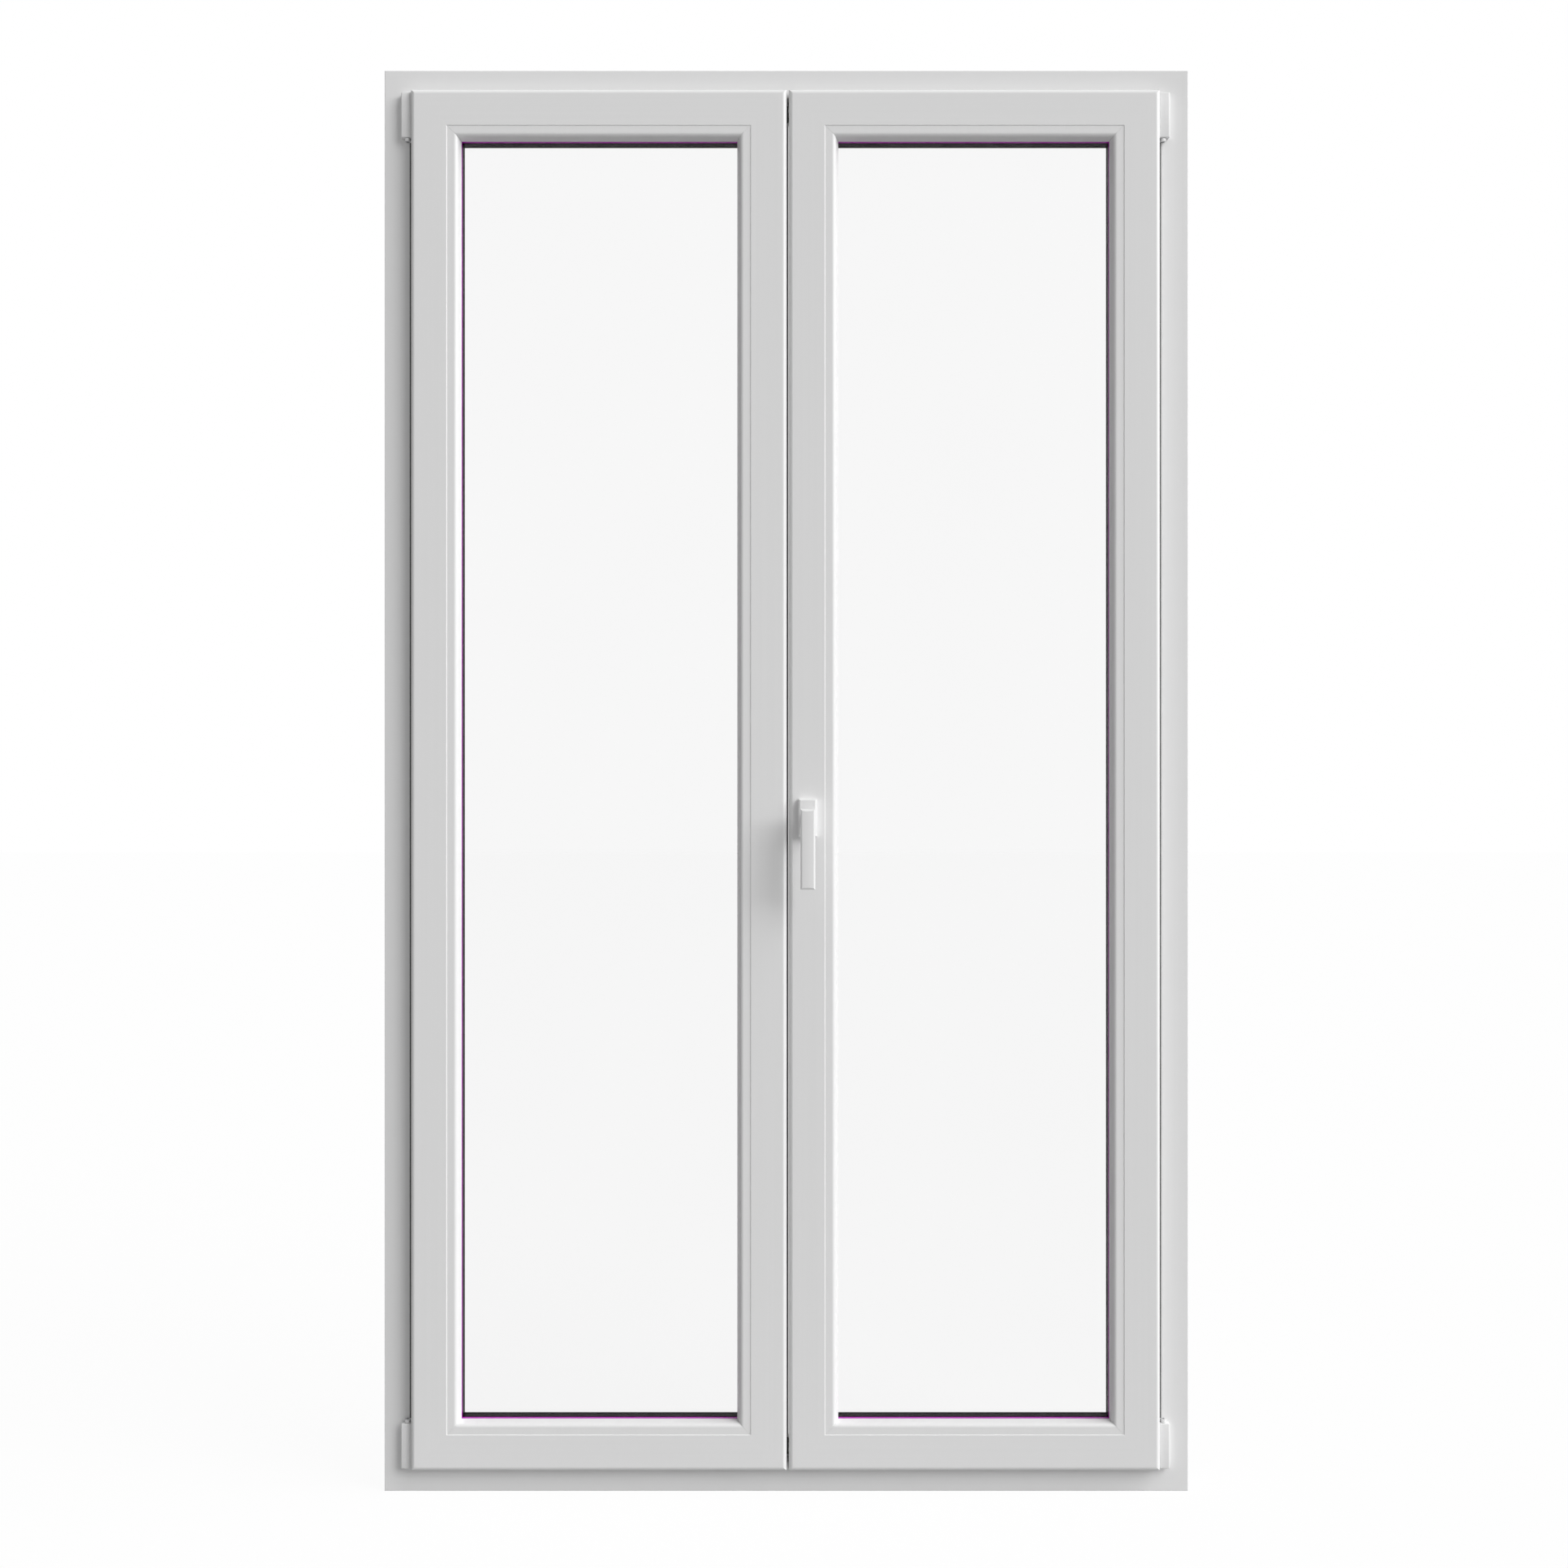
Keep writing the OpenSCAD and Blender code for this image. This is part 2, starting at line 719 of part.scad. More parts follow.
// Blocks that carry and centre the sealed unit in its rebate
module glazing_blocks(leaf) {
    block_setback = 60;
    b = leaf_box(leaf);
    r = grow(b, -sash_face);
    color(black_rubber) {
        for (x = [r[0] + block_setback, r[1] - block_setback - block_l])
            for (z = [r[2], r[3] - glass_gap])
                translate([x, glass_y0, z]) cube([block_l, glass_y1 - glass_y0, glass_gap]);
        for (z = [r[2] + block_setback, r[3] - block_setback - block_l])
            for (x = [r[0], r[1] - glass_gap])
                translate([x, glass_y0, z]) cube([glass_gap, glass_y1 - glass_y0, block_l]);
    }
}

// Right meeting stile with the pocket of the gear case and the hole of the spindle
module right_meeting_stile() {
    color(white_pvc) difference() {
        sash_member("right", "left");
        translate([lock_x - eps, gear_y - case_half_y - ease, handle_z - case_half_z - ease])
            cube([case_x1 + ease - lock_x + eps, 2 * (case_half_y + ease), 2 * (case_half_z + ease)]);
        tube_y(spindle_w, handle_x, handle_z, sash_y0 - eps, gear_y);
    }
}

// Astragal on the left leaf

module astragal_outline(y0) {
    polygon([
        [meeting_x, y0], [astragal_face(y0), y0],
        [astragal_face(astragal_y1), astragal_y1], [meeting_x, astragal_y1]
    ]);
}

module astragal() {
    color(white_pvc) difference() {
        translate([0, 0, astragal_z0]) linear_extrude(astragal_z1 - astragal_z0) difference() {
            astragal_outline(astragal_y0);
            translate([channel_x, bolt_y - channel_w / 2]) square([overlap_w, channel_w]);
        }
        for (z = cam_zs)
            translate([keep_x - keep_t, gear_y - keep_w / 2 - ease, z - keep_h / 2 - ease])
                cube([overlap_w, keep_w + 2 * ease, keep_h + 2 * ease]);
    }
}

module astragal_seal() {
    seal_w = 14;
    color(grey_seal) translate([seal_x - seal_w, seal_y0, astragal_z0])
        cube([seal_w, seal_t, astragal_z1 - astragal_z0]);
}

module astragal_cap(z) {
    color(black_rubber) difference() {
        translate([0, 0, z]) linear_extrude(astragal_setback - overlap_w) union() {
            astragal_outline(astragal_y0);
            translate([meeting_x, seal_y0]) square([seal_x - meeting_x, seal_t]);
        }
        translate([bolt_x, bolt_y, z - eps]) cylinder(h = astragal_setback, r = bolt_r + ease);
    }
}

module astragal_cap_top() {
    astragal_cap(astragal_z1);
}

module astragal_cap_bottom() {
    astragal_cap(leaf_z0 + overlap_w);
}

// Keep plates with a shallow run for the cams, open towards the room
module lock_keeps() {
    run_d = 1;
    color(zinc)
        for (z = cam_zs)
            difference() {
                translate([keep_x - keep_t, gear_y - keep_w / 2, z - keep_h / 2])
                    cube([keep_t, keep_w, keep_h]);
                translate([keep_x - run_d, gear_y - cam_r - ease, z - keep_h / 2 - eps])
                    cube([keep_t, 2 * (cam_r + ease), keep_h + 2 * eps]);
            }
}

module bolt_guides() {
    color(zinc)
        for (z = guide_zs)
            difference() {
                translate([channel_x, bolt_y - channel_w / 2 + ease, z])
                    cube([knob_x - channel_x, channel_w - 2 * ease, guide_l]);
                translate([bolt_x, bolt_y, z - eps]) cylinder(h = guide_l + 2 * eps, r = bolt_r + run);
            }
}

// Flush bolt: rod with a thumb knob between its guides
module flush_bolt(z0, knob_z) {
    color(zinc) {
        translate([bolt_x, bolt_y, z0]) cylinder(h = bolt_l, r = bolt_r);
        translate([bolt_x, bolt_y - knob_w / 2, knob_z]) cube([knob_x - bolt_x, knob_w, knob_h]);
    }
}

module top_bolt() {
    flush_bolt(bolt_tip_z - bolt_l, high_guide_z + guide_l + knob_play);
}

module bottom_bolt() {
    flush_bolt(bolt_foot_z, low_guide_z - knob_play - knob_h);
}

// Lock of the right leaf

module lock_rail() {
    rail_z0 = leaf_z0 + rail_setback;
    rail_h = leaf_z1 - leaf_z0 - 2 * rail_setback;
    color(zinc) difference() {
        translate([rail_x1 - rail_t, gear_y - rail_y - rail_t, rail_z0])
            cube([lock_x - rail_x1 + rail_t, 2 * (rail_y + rail_t), rail_h]);
        translate([rail_x1, gear_y - rail_y, rail_z0 - eps])
            cube([lock_x - rail_x1 + eps, 2 * rail_y, rail_h + 2 * eps]);
        for (z = cam_zs)
            translate([rail_x1 - rail_t - eps, gear_y - cam_r - ease, z - cam_r - bar_travel - pass])
                cube([rail_t + 2 * eps, 2 * (cam_r + ease), 2 * (cam_r + pass) + bar_travel]);
    }
}

// Two cheeks round the pinion, open towards the rack, with the bearings of its hub
module gear_case() {
    case_x0 = lock_x + ease;
    cavity_half_y = gear_t / 2 + ease;
    color(zinc) difference() {
        translate([case_x0, gear_y - case_half_y, handle_z - case_half_z])
            cube([case_x1 - case_x0, 2 * case_half_y, 2 * case_half_z]);
        tube_y(tip_r + pass, handle_x, handle_z, gear_y - cavity_half_y, gear_y + cavity_half_y);
        tube_y(hub_r + run, handle_x, handle_z, gear_y - case_half_y - eps, gear_y + case_half_y + eps);
    }
}

module square_y(w, y0, y1) {
    translate([handle_x - w / 2, y0, handle_z - w / 2]) cube([w, y1 - y0, w]);
}

module pinion() {
    color(zinc) difference() {
        union() {
            translate([handle_x, gear_y + gear_t / 2, handle_z]) rotate([90, 0, 0])
                linear_extrude(gear_t) polygon(pinion_points);
            tube_y(hub_r, handle_x, handle_z, gear_y - case_half_y, gear_y + case_half_y);
        }
        square_y(spindle_w + 2 * run, gear_y - case_half_y - eps, gear_y + case_half_y + eps);
    }
}

// Flat bar with rack teeth beside the pinion
module drive_bar() {
    below = 4;
    above = ceil(bar_travel / tooth_pitch) + below;
    slope = tan(pressure_angle);
    foot_half = tooth_half + dedendum * slope;
    tip_half = tooth_half - tooth_module * slope;
    color(zinc) {
        translate([bar_x0, gear_y - gear_t / 2, leaf_z0 + bar_setback])
            cube([bar_t, gear_t, leaf_z1 - leaf_z0 - 2 * bar_setback]);
        for (k = [-below:above]) {
            z = handle_z + (k + 0.5) * tooth_pitch;
            prism_y(
                [
                    [bar_x1 - eps, z - foot_half], [bar_x1, z - foot_half],
                    [rack_x + tooth_module, z - tip_half], [rack_x + tooth_module, z + tip_half],
                    [bar_x1, z + foot_half], [bar_x1 - eps, z + foot_half]
                ],
                gear_y - gear_t / 2, gear_y + gear_t / 2
            );
        }
    }
}

module lock_cams() {
    color(zinc)
        for (z = cam_zs)
            translate([cam_x, gear_y, z]) rotate([0, 90, 0]) cylinder(h = bar_x0 - cam_x, r = cam_r);
}

// Handle

// Upright plate with rounded corners and a bevel that starts at y0; its face may stand proud of that
module bevelled_plate(b, y0, y1, proud = 0) {
    w = handle_bevel_w;
    d = handle_bevel_d;
    difference() {
        translate([0, y1, 0]) rotate([90, 0, 0]) linear_extrude(y1 - y0 + proud) difference() {
            translate([b[0], b[2]]) square([b[1] - b[0], b[3] - b[2]]);
            for (i = [0, 1])
                for (j = [0, 1])
                    translate([b[i], b[2 + j]]) corner_cut(handle_corner_r, flip_u = i, flip_y = j);
        }
        for (side = SIDES)
            along(side, b, -eps) translate([0, y0]) polygon([[-w, 2 * d], [-w, -d], [2 * w, -d]]);
    }
}

function handle_box(w, down, up) = [handle_x - w / 2, handle_x + w / 2, handle_z - down, handle_z + up];

module handle_rosette() {
    color(white_pvc) difference() {
        bevelled_plate(handle_box(rosette_w, rosette_h / 2, rosette_h / 2), sash_y0 - rosette_t, sash_y0);
        tube_y(spigot_r + run, handle_x, handle_z, sash_y0 - rosette_t - eps, sash_y0 + eps);
    }
}

// Crowned lever, its round neck and the spigot that turns in the rosette
module handle_lever() {
    neck_y = sash_y0 - rosette_t - ease;
    crown_drop = pow(lever_w / 2 - handle_bevel_w, 2) / (2 * lever_crown_r);
    color(white_pvc) difference() {
        union() {
            intersection() {
                bevelled_plate(
                    handle_box(lever_w, lever_down, lever_up),
                    lever_y0 + crown_drop, lever_y1, crown_drop + ease
                );
                translate([handle_x, lever_y0 + lever_crown_r, handle_z - lever_down - eps])
                    cylinder(h = lever_down + lever_up + 2 * eps, r = lever_crown_r, $fn = 360);
            }
            tube_y(neck_r, handle_x, handle_z, lever_y1 - eps, neck_y);
            tube_y(spigot_r, handle_x, handle_z, neck_y - eps, sash_y0 - ease);
        }
        square_y(spindle_w + 2 * run, lever_y1, sash_y0 + eps);
    }
}

module spindle() {
    color(zinc) square_y(spindle_w, lever_y1, gear_y + case_half_y);
}

// Nodes of the two leaves

module left_hinge_stile() {
    sash_member("left", "left");
}

module left_meeting_stile() {
    sash_member("left", "right");
}

module left_top_rail() {
    sash_member("left", "top");
}

module left_bottom_rail() {
    sash_member("left", "bottom");
}

module right_hinge_stile() {
    sash_member("right", "right");
}

module right_top_rail() {
    sash_member("right", "top");
}

module right_bottom_rail() {
    sash_member("right", "bottom");
}

frame_head();
frame_sill();
frame_jamb_left();
frame_jamb_right();
frame_steels();
stop_gasket();
hinge_bearings();
hinge_pins();
hinge_cap_top_left();
hinge_cap_bottom_left();
hinge_cap_top_right();
hinge_cap_bottom_right();
head_strike();
sill_strike();
left_hinge_stile();
left_meeting_stile();
left_top_rail();
left_bottom_rail();
leaf_steels("left");  // left_steels
beads("left");  // left_beads
pane("left", glass_y0);  // left_inner_pane
pane("left", spacer_y1);  // left_outer_pane
spacer("left");  // left_spacer
bead_gasket("left");  // left_bead_gasket
outer_gasket("left");  // left_outer_gasket
overlap_gasket("left");  // left_overlap_gasket
glazing_blocks("left");  // left_glazing_blocks
leaf_hinge_arms("left");  // left_hinge_arms
astragal();
astragal_seal();
astragal_cap_top();
astragal_cap_bottom();
lock_keeps();
bolt_guides();
right_hinge_stile();
right_meeting_stile();
right_top_rail();
right_bottom_rail();
leaf_steels("right");  // right_steels
beads("right");  // right_beads
pane("right", glass_y0);  // right_inner_pane
pane("right", spacer_y1);  // right_outer_pane
spacer("right");  // right_spacer
bead_gasket("right");  // right_bead_gasket
outer_gasket("right");  // right_outer_gasket
overlap_gasket("right");  // right_overlap_gasket
glazing_blocks("right");  // right_glazing_blocks
leaf_hinge_arms("right");  // right_hinge_arms
lock_rail();
gear_case();
handle_rosette();
handle_lever();
spindle();
pinion();
drive_bar();
lock_cams();
top_bolt();
bottom_bolt();
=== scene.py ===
import json
import math

import bmesh
import bpy
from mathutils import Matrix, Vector


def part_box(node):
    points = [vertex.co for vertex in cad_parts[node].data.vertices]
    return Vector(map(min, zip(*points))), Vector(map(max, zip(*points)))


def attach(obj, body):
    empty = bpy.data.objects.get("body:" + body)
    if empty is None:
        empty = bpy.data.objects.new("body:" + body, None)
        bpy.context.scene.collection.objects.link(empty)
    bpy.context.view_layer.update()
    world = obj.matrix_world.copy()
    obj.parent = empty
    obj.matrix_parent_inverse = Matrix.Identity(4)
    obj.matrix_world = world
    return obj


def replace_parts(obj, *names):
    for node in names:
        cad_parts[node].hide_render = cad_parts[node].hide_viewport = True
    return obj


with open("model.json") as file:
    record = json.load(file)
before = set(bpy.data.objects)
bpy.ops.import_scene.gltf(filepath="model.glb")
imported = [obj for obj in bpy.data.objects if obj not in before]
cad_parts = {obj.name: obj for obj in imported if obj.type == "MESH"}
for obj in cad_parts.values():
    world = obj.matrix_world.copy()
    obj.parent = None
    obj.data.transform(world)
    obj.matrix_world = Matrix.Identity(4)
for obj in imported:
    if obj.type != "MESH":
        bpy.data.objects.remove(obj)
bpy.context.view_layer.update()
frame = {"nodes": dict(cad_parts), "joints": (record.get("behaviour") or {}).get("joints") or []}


# Frame: head, sill and two jambs of white plastic, extruded, cut to a mitre and welded at the corners.
# The extruder leaves a faint streak along each bar, and its satin skin has a very fine orange peel.
def extruded_grain():
    streak_detail, streak_height = 4.0, 0.6
    smoothest, roughest = 0.34, 0.46
    peel_scale, peel_detail = 420.0, 2.0
    group = bpy.data.node_groups.new("extruded_grain", "ShaderNodeTree")
    for name, kind in (("Stretch", "Vector"), ("Dull", "Color"), ("Clean", "Color")):
        group.interface.new_socket(name, in_out="INPUT", socket_type="NodeSocket" + kind)
    for name, kind in (("Color", "Color"), ("Roughness", "Float"), ("Height", "Float")):
        group.interface.new_socket(name, in_out="OUTPUT", socket_type="NodeSocket" + kind)
    nodes, links = group.nodes, group.links
    enter = nodes.new("NodeGroupInput")
    leave = nodes.new("NodeGroupOutput")
    place = nodes.new("ShaderNodeTexCoord")
    stretch = nodes.new("ShaderNodeVectorMath")
    stretch.operation = "MULTIPLY"
    links.new(place.outputs["Object"], stretch.inputs[0])
    links.new(enter.outputs["Stretch"], stretch.inputs[1])
    streak = nodes.new("ShaderNodeTexNoise")
    streak.inputs["Scale"].default_value = 1.0
    streak.inputs["Detail"].default_value = streak_detail
    links.new(stretch.outputs["Vector"], streak.inputs["Vector"])
    tint = nodes.new("ShaderNodeMix")
    tint.data_type = "RGBA"
    links.new(streak.outputs["Fac"], tint.inputs["Factor"])
    links.new(enter.outputs["Dull"], tint.inputs["A"])
    links.new(enter.outputs["Clean"], tint.inputs["B"])
    links.new(tint.outputs["Result"], leave.inputs["Color"])
    gloss = nodes.new("ShaderNodeMapRange")
    gloss.inputs["To Min"].default_value = smoothest
    gloss.inputs["To Max"].default_value = roughest
    links.new(streak.outputs["Fac"], gloss.inputs["Value"])
    links.new(gloss.outputs["Result"], leave.inputs["Roughness"])
    peel = nodes.new("ShaderNodeTexNoise")
    peel.inputs["Scale"].default_value = peel_scale
    peel.inputs["Detail"].default_value = peel_detail
    links.new(place.outputs["Object"], peel.inputs["Vector"])
    relief = nodes.new("ShaderNodeMath")
    relief.operation = "MULTIPLY_ADD"
    relief.inputs[1].default_value = streak_height
    links.new(streak.outputs["Fac"], relief.inputs[0])
    links.new(peel.outputs["Fac"], relief.inputs[2])
    links.new(relief.outputs["Value"], leave.inputs["Height"])
    return group


GRAIN = extruded_grain()


def blank_material(name):
    material = bpy.data.materials.new(name)
    material.use_nodes = True
    return material, material.node_tree.nodes["Principled BSDF"]


def grained_material(name, stretch, dull, clean, bump, metallic=0.0, specular=0.5):
    bump_depth = 0.0004
    material, shader = blank_material(name)
    shader.inputs["Metallic"].default_value = metallic
    shader.inputs["Specular IOR Level"].default_value = specular
    nodes, links = material.node_tree.nodes, material.node_tree.links
    grain = nodes.new("ShaderNodeGroup")
    grain.node_tree = GRAIN
    grain.inputs["Stretch"].default_value = stretch
    grain.inputs["Dull"].default_value = (*dull, 1.0)
    grain.inputs["Clean"].default_value = (*clean, 1.0)
    lift = nodes.new("ShaderNodeBump")
    lift.inputs["Strength"].default_value = bump
    lift.inputs["Distance"].default_value = bump_depth
    links.new(grain.outputs["Height"], lift.inputs["Height"])
    links.new(lift.outputs["Normal"], shader.inputs["Normal"])
    links.new(grain.outputs["Color"], shader.inputs["Base Color"])
    links.new(grain.outputs["Roughness"], shader.inputs["Roughness"])
    return material


def dress(material, *names):
    for name in names:
        for slot in frame["nodes"][name].material_slots:
            slot.material = material


PVC_DULL = (0.812, 0.812, 0.812)
PVC_CLEAN = (0.838, 0.838, 0.838)
PVC_BUMP = 0.04
ALONG_Z = (260.0, 260.0, 1.2)
ALONG_X = (1.2, 260.0, 260.0)
pvc_upright = grained_material("pvc_upright", ALONG_Z, PVC_DULL, PVC_CLEAN, PVC_BUMP)
pvc_level = grained_material("pvc_level", ALONG_X, PVC_DULL, PVC_CLEAN, PVC_BUMP)
dress(pvc_upright, "frame_jamb_left", "frame_jamb_right")
dress(pvc_level, "frame_head", "frame_sill")


# Steel bars inside the plastic profiles, and the strike blocks for the flush bolts: zinc-plated steel,
# roll-formed or milled, with the clouded sheen of a passivated coat.
zinc_steel = grained_material(
    "zinc_steel", stretch=(90.0, 90.0, 4.0), dull=(0.46, 0.47, 0.48), clean=(0.68, 0.69, 0.70),
    bump=0.08, metallic=1.0)
dress(zinc_steel, "frame_steels", "left_steels", "right_steels", "head_strike", "sill_strike")


# Seals: black rubber strips that the leaves and panes press on, extruded and drawn into their grooves, and
# the end caps of the meeting profile. The matte skin shows a little bloom. Along a hinge edge a curled lip
# of the seal stands past the leaf.
black_rubber = grained_material(
    "black_rubber", stretch=(60.0, 60.0, 60.0), dull=(0.020, 0.020, 0.021), clean=(0.040, 0.039, 0.040),
    bump=0.15, specular=0.2)
dress(black_rubber, "stop_gasket", "left_overlap_gasket", "right_overlap_gasket",
      "left_outer_gasket", "right_outer_gasket", "astragal_cap_top", "astragal_cap_bottom")

JAMB_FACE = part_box("frame_jamb_left")[0].y
UPPER_CAP_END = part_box("hinge_cap_top_left")[0].z
LOWER_CAP_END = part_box("hinge_cap_bottom_left")[1].z
LIP_SETBACK = 0.0059
LIP_ENDS = (LOWER_CAP_END + LIP_SETBACK, UPPER_CAP_END - LIP_SETBACK)


def seal_lip(name, body, edge, outward):
    front = [(-0.0006, 0.0029), (0.0012, 0.0029), (0.0028, 0.0025), (0.0039, 0.0017), (0.0042, 0.0009)]
    back = [(0.0037, 0.0007), (0.0030, 0.0013), (0.0018, 0.0017), (-0.0006, 0.0017)]
    section = [(edge + outward * past, JAMB_FACE - proud) for past, proud in front + back]
    rings = [[(x, y, z) for x, y in section] for z in LIP_ENDS]
    count = len(section)
    sides = [(k, (k + 1) % count, count + (k + 1) % count, count + k) for k in range(count)]
    ends = [tuple(reversed(range(count))), tuple(range(count, 2 * count))]
    mesh = bpy.data.meshes.new(name)
    mesh.from_pydata(rings[0] + rings[1], [], sides + ends)
    shape = bmesh.new()
    shape.from_mesh(mesh)
    bmesh.ops.recalc_face_normals(shape, faces=shape.faces)
    shape.to_mesh(mesh)
    shape.free()
    mesh.materials.append(black_rubber)
    lip = bpy.data.objects.new(name, mesh)
    bpy.context.collection.objects.link(lip)
    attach(lip, body)


seal_lip("left_seal_lip", "left_leaf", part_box("left_hinge_stile")[0].x, -1)
seal_lip("right_seal_lip", "right_leaf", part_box("right_hinge_stile")[1].x, 1)


# Hinge caps: the jambs carry steel bearings with pins, and a white cap moulded in plastic clips over each,
# with a flat front, rounded edges and its back against the jamb. The cap reaches a little past the plain
# shell of the solid on its outer side and at its outer end.
dress(zinc_steel, "hinge_bearings", "hinge_pins")
cap_white = grained_material(
    "cap_white", stretch=(140.0, 140.0, 140.0), dull=(0.805, 0.805, 0.805), clean=(0.835, 0.835, 0.835),
    bump=0.05)
CAP_WIDER, CAP_LONGER = 0.0020, 0.0028


def cap_outline(left, right, front, back):
    corner, corner_steps = 0.0016, 6
    outline = [(right, back), (left, back)]
    for x, start in ((left + corner, 180), (right - corner, 270)):
        for step in range(corner_steps + 1):
            turn = math.radians(start + 90 * step / corner_steps)
            outline.append((x + corner * math.cos(turn), front + corner + corner * math.sin(turn)))
    return outline


def hinge_cap(name, outline, z0, z1):
    rim_radius, rim_steps, sharp_angle = 0.0011, 3, 40
    shape = bmesh.new()
    rings = [[shape.verts.new((x, y, z)) for x, y in outline] for z in (z0, z1)]
    ends = [shape.faces.new(ring) for ring in rings]
    for k in range(len(outline)):
        shape.faces.new((rings[0][k - 1], rings[0][k], rings[1][k], rings[1][k - 1]))
    bmesh.ops.recalc_face_normals(shape, faces=shape.faces)
    rims = [edge for end in ends for edge in end.edges]
    bmesh.ops.bevel(shape, geom=rims, offset=rim_radius, segments=rim_steps, profile=0.5, affect="EDGES")
    for face in shape.faces:
        face.smooth = True
    mesh = bpy.data.meshes.new(name)
    shape.to_mesh(mesh)
    shape.free()
    mesh.set_sharp_from_angle(angle=math.radians(sharp_angle))
    mesh.materials.append(cap_white)
    cap = bpy.data.objects.new(name, mesh)
    bpy.context.collection.objects.link(cap)
    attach(cap, "frame")
    return cap


for side in ("left", "right"):
    for level in ("top", "bottom"):
        low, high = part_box(f"hinge_cap_{level}_{side}")
        left = low.x - CAP_WIDER * (side == "left")
        right = high.x + CAP_WIDER * (side == "right")
        z0 = low.z - CAP_LONGER * (level == "bottom")
        z1 = high.z + CAP_LONGER * (level == "top")
        outline = cap_outline(left, right, low.y, high.y)
        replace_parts(hinge_cap(f"{side}_{level}_cap", outline, z0, z1), f"hinge_cap_{level}_{side}")


# Hinge arms: each leaf carries two, stamped in steel, with a flange screwed to the leaf's side, a strap
# through the seal gap and an eye round the pin, which has a white plastic bush moulded over it.
EYE_GAP, EYE_HEIGHT = 0.0005, 0.0046
EYES = [(UPPER_CAP_END - EYE_GAP - EYE_HEIGHT, UPPER_CAP_END - EYE_GAP),
        (LOWER_CAP_END + EYE_GAP, LOWER_CAP_END + EYE_GAP + EYE_HEIGHT)]
ARM_PLATE, ARM_REACH, ARM_EASE = 0.0020, 0.0270, 0.0003
ARM_BACK = JAMB_FACE - ARM_EASE
ARM_FRONT = ARM_BACK - ARM_PLATE
FLANGE_DEPTH, FLANGE_HEIGHT = 0.024, 0.060


def swing_axis(side):
    swing = next(joint for joint in frame["joints"] if joint["name"] == side + "_leaf_swing")
    return swing["pos_m"][:2]


def rounded_block(shape, low, high, bevel):
    verts = bmesh.ops.create_cube(shape, size=1.0)["verts"]
    for vert in verts:
        vert.co = [far if at > 0 else near for near, far, at in zip(low, high, vert.co)]
    edges = list(dict.fromkeys(edge for vert in verts for edge in vert.link_edges))
    bmesh.ops.bevel(shape, geom=edges, offset=bevel, segments=2, profile=0.5, affect="EDGES")


def hinge_arms(side, inward):
    neck_half, bore, bush, bush_sides, bush_chamfer = 0.0022, 0.00245, 0.0036, 40, 0.0003
    plate_edge, sharp_angle = 0.0004, 35
    axis_x, axis_y = swing_axis(side)
    turns = [math.tau * step / bush_sides for step in range(bush_sides)]
    shape = bmesh.new()
    for z0, z1 in EYES:
        middle = (z0 + z1) / 2
        neck = ((-neck_half, neck_half), (axis_y + bore, ARM_BACK), (z0, z1))
        strap = ((-neck_half, ARM_REACH), (ARM_FRONT, ARM_BACK), (z0, z1))
        flange = ((ARM_REACH - ARM_PLATE, ARM_REACH), (ARM_FRONT, ARM_FRONT + FLANGE_DEPTH),
                  (middle - FLANGE_HEIGHT / 2, middle + FLANGE_HEIGHT / 2))
        for reach, depth, height in (neck, strap, flange):
            across = sorted(axis_x + inward * end for end in reach)
            rounded_block(shape, *zip(across, depth, height), plate_edge)
        profile = [(bore, z0), (bush - bush_chamfer, z0), (bush, z0 + bush_chamfer),
                   (bush, z1 - bush_chamfer), (bush - bush_chamfer, z1), (bore, z1)]
        rings = [[shape.verts.new((axis_x + r * math.cos(turn), axis_y + r * math.sin(turn), z))
                  for turn in turns] for r, z in profile]
        for near, far in zip(rings, rings[1:] + rings[:1]):
            for k in range(bush_sides):
                face = shape.faces.new((near[k - 1], near[k], far[k], far[k - 1]))
                face.material_index = 1
                face.smooth = True
    bmesh.ops.recalc_face_normals(shape, faces=shape.faces)
    mesh = bpy.data.meshes.new(side + "_arms")
    shape.to_mesh(mesh)
    shape.free()
    mesh.set_sharp_from_angle(angle=math.radians(sharp_angle))
    mesh.materials.append(zinc_steel)
    mesh.materials.append(cap_white)
    arms = bpy.data.objects.new(side + "_arms", mesh)
    bpy.context.collection.objects.link(arms)
    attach(arms, side + "_leaf")
    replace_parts(arms, side + "_hinge_arms")


hinge_arms("left", 1)
hinge_arms("right", -1)


# Leaves: two rings of stiles and rails in the same white plastic, extruded, cut to a mitre and welded, with a
# rounded front edge that laps over the frame.
for leaf in ("left", "right"):
    dress(pvc_upright, leaf + "_hinge_stile", leaf + "_meeting_stile")
    dress(pvc_level, leaf + "_top_rail", leaf + "_bottom_rail")


# Glazing beads: strips of the same white plastic with a rounded shoulder, extruded, mitred at the corners and
# clipped into the leaf, so that they hold the glass from the room.
dress(pvc_upright, "left_beads", "right_beads")


